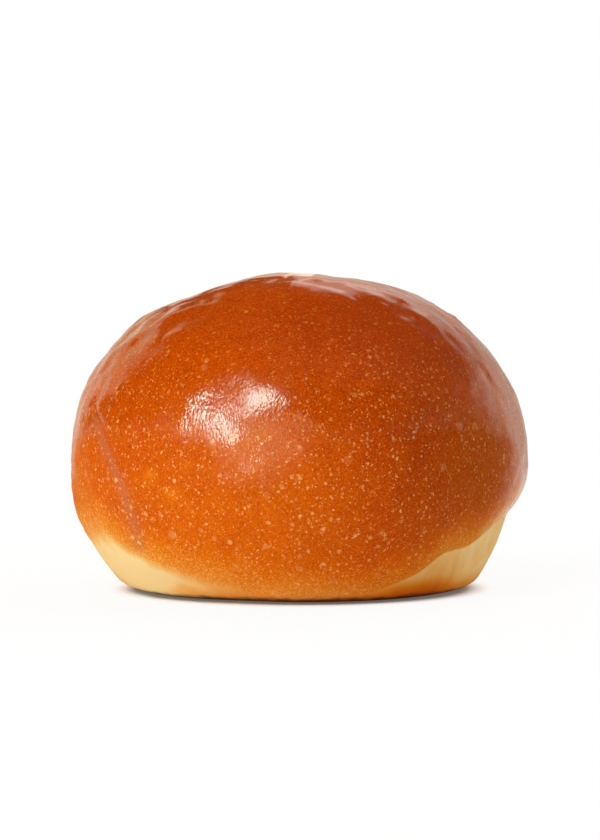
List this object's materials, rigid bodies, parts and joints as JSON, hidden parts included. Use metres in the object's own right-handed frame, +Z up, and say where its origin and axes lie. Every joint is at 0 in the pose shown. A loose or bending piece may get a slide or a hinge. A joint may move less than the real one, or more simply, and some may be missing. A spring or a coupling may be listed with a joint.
{
  "type": "burger bun",
  "caption": "Tall round burger bun with a glossy browned dome that overhangs a narrower pale foot, on a flat base.",
  "frame": {"origin": "on the flat base, under the middle of the bun", "axes": "+Z up through the crown; -Y is the front, where the browned crust runs down to the base; +X is the side where the crust hangs over the pale foot"},
  "size_m": [0.1014, 0.1014, 0.0699],
  "materials": {
    "baked_bread": "glossy glazed brown crust over a matt, pale yellow foot"
  },
  "bodies": {
    "root": {"bun": "baked_bread"}
  },
  "joints": []
}
